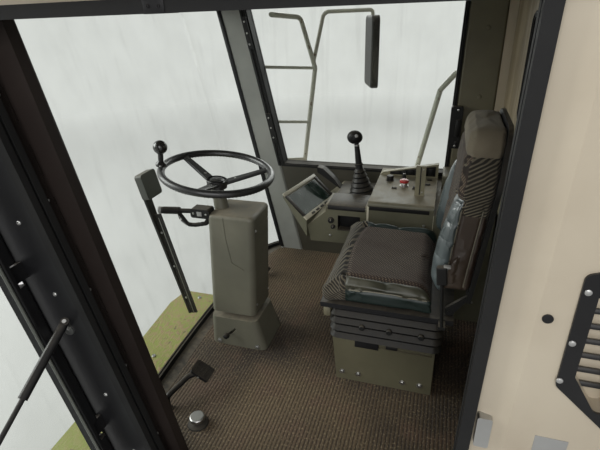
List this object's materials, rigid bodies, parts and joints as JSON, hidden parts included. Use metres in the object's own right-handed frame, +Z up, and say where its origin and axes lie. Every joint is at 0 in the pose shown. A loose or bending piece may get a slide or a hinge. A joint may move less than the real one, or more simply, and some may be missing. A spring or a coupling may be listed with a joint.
{
  "type": "combine harvester cab",
  "caption": "Operator's cab of a combine harvester: hollow glazed shell with an open glass door, sprung seat, tilting steering column, side console and roof.",
  "frame": {"origin": "centre of the four rubber mounts, on the level that they stand on", "axes": "+X forwards, +Y to the driver's left, +Z up"},
  "size_m": [1.785, 3.2179, 1.839],
  "materials": {
    "cab_paint": "pale beige paint, satin, dusty",
    "roof_plastic": "off-white moulded plastic",
    "roof_lining": "grey-beige felt",
    "pillar_paint": "grey-beige paint with black edges",
    "chassis_black": "black chassis paint",
    "satin_black": "satin black paint",
    "brown_trim": "dark brown grained plastic",
    "olive_trim": "olive-beige grained plastic",
    "column_beige": "beige moulded plastic, dusty",
    "lining_vinyl": "soft beige vinyl",
    "ledge_green": "yellow-green paint under chaff dust",
    "mat_rubber": "ribbed brown-black rubber mat",
    "rubber": "black rubber",
    "clear_glass": "toughened glass, dusty",
    "black_plastic": "black moulded plastic",
    "screen_glass": "dark green screen in a pale bezel",
    "seat_fabric": "striped beige and dark seat cloth with teal vinyl bolsters",
    "rail_paint": "pale painted tube",
    "steel": "zinc plated steel",
    "lamp": "clear lamp lens in a black housing"
  },
  "bodies": {
    "cab": {"floor_frame": "chassis_black", "mount_pads": "rubber", "floor_mat": "mat_rubber", "front_ledge": "ledge_green", "door_sill": "chassis_black", "a_pillar_left": "satin_black", "a_pillar_right": "pillar_paint", "a_post_trim_left": "brown_trim", "b_pillar_left": "cab_paint", "c_pillar_right": "olive_trim", "quarter_panel_left": "cab_paint", "quarter_panel_right": "cab_paint", "vent_plate": "satin_black", "right_panel": "cab_paint", "rear_wall": "cab_paint", "rear_lining": "lining_vinyl", "rear_trim": "olive_trim", "roof_frame": "cab_paint", "headliner": "roof_lining", "roof_shell": "roof_plastic", "work_lamps": "lamp", "windscreen_glass": "clear_glass", "right_window_glass": "clear_glass", "rear_window_glass": "clear_glass", "window_seals": "rubber", "window_latch": "black_plastic", "door_seal": "rubber", "door_latch": "steel", "door_hinges": "satin_black", "stay_pillar_stud": "steel", "column_base": "column_beige", "pedals": "satin_black", "foot_switch": "steel", "seat_base": "column_beige", "seat_suspension": "black_plastic", "console_front": "column_beige", "console_cabinet": "column_beige", "switch_panel": "column_beige", "drive_lever": "black_plastic", "monitor": "screen_glass", "grab_rail": "rail_paint", "mirror_mast": "rail_paint", "mirror_head": "black_plastic", "wiper_motor": "black_plastic"},
    "door": {"door_frame": "satin_black", "door_glass": "clear_glass", "door_handles": "satin_black", "stay_door_stud": "steel"},
    "stay_tube": {"stay_tube": "satin_black"},
    "stay_rod": {"stay_rod": "steel"},
    "column": {"column_shroud": "column_beige", "column_stalk": "black_plastic"},
    "steering_wheel": {"steering_wheel": "black_plastic", "spinner_knob": "black_plastic"},
    "seat": {"seat_pan": "satin_black", "seat_cushion": "seat_fabric", "belt_buckle": "black_plastic"},
    "backrest": {"backrest_shell": "black_plastic", "backrest_pad": "seat_fabric"},
    "wiper": {"wiper_arm": "satin_black"}
  },
  "joints": [
    {"name": "door_hinge", "type": "hinge", "parent": "cab", "child": "door", "pos_m": [0.5, 0.798, 0.2], "axis": [0.1961, 0, 0.9806], "range_deg": [-5, 80]},
    {"name": "stay_swing", "type": "hinge", "parent": "cab", "child": "stay_tube", "pos_m": [0.526, 0.79, 0.777], "axis": [-0.4106, 0.4434, 0.7967], "range_deg": [-5, 77]},
    {"name": "stay_slide", "type": "slide", "parent": "stay_tube", "child": "stay_rod", "axis": [-0.0102, 0.8715, -0.4903], "range_m": [-0.077, 0.0055]},
    {"name": "column_tilt", "type": "hinge", "parent": "cab", "child": "column", "pos_m": [0.41, 0.06, 0.345], "axis": [0, 1, 0], "range_deg": [-8, 6]},
    {"name": "steering_turn", "type": "hinge", "parent": "column", "child": "steering_wheel", "pos_m": [0.45, 0.06, 0.93], "axis": [-0.1392, 0, 0.9903], "continuous": true},
    {"name": "seat_slide", "type": "slide", "parent": "cab", "child": "seat", "axis": [1, 0, 0], "range_m": [0, 0.12]},
    {"name": "backrest_recline", "type": "hinge", "parent": "seat", "child": "backrest", "pos_m": [-0.405, 0.06, 0.612], "axis": [0, 1, 0], "range_deg": [-5, 12]},
    {"name": "wiper_sweep", "type": "hinge", "parent": "cab", "child": "wiper", "pos_m": [0.762, 0.04, 0.85], "axis": [0.9806, 0, -0.1961], "range_deg": [-40, 40]}
  ],
  "couplings": [
    {"joint": "stay_swing", "follows": "door_hinge", "ratio": 0.95607},
    {"joint": "stay_slide", "follows": "door_hinge", "m_per_rad": -0.054566}
  ]
}
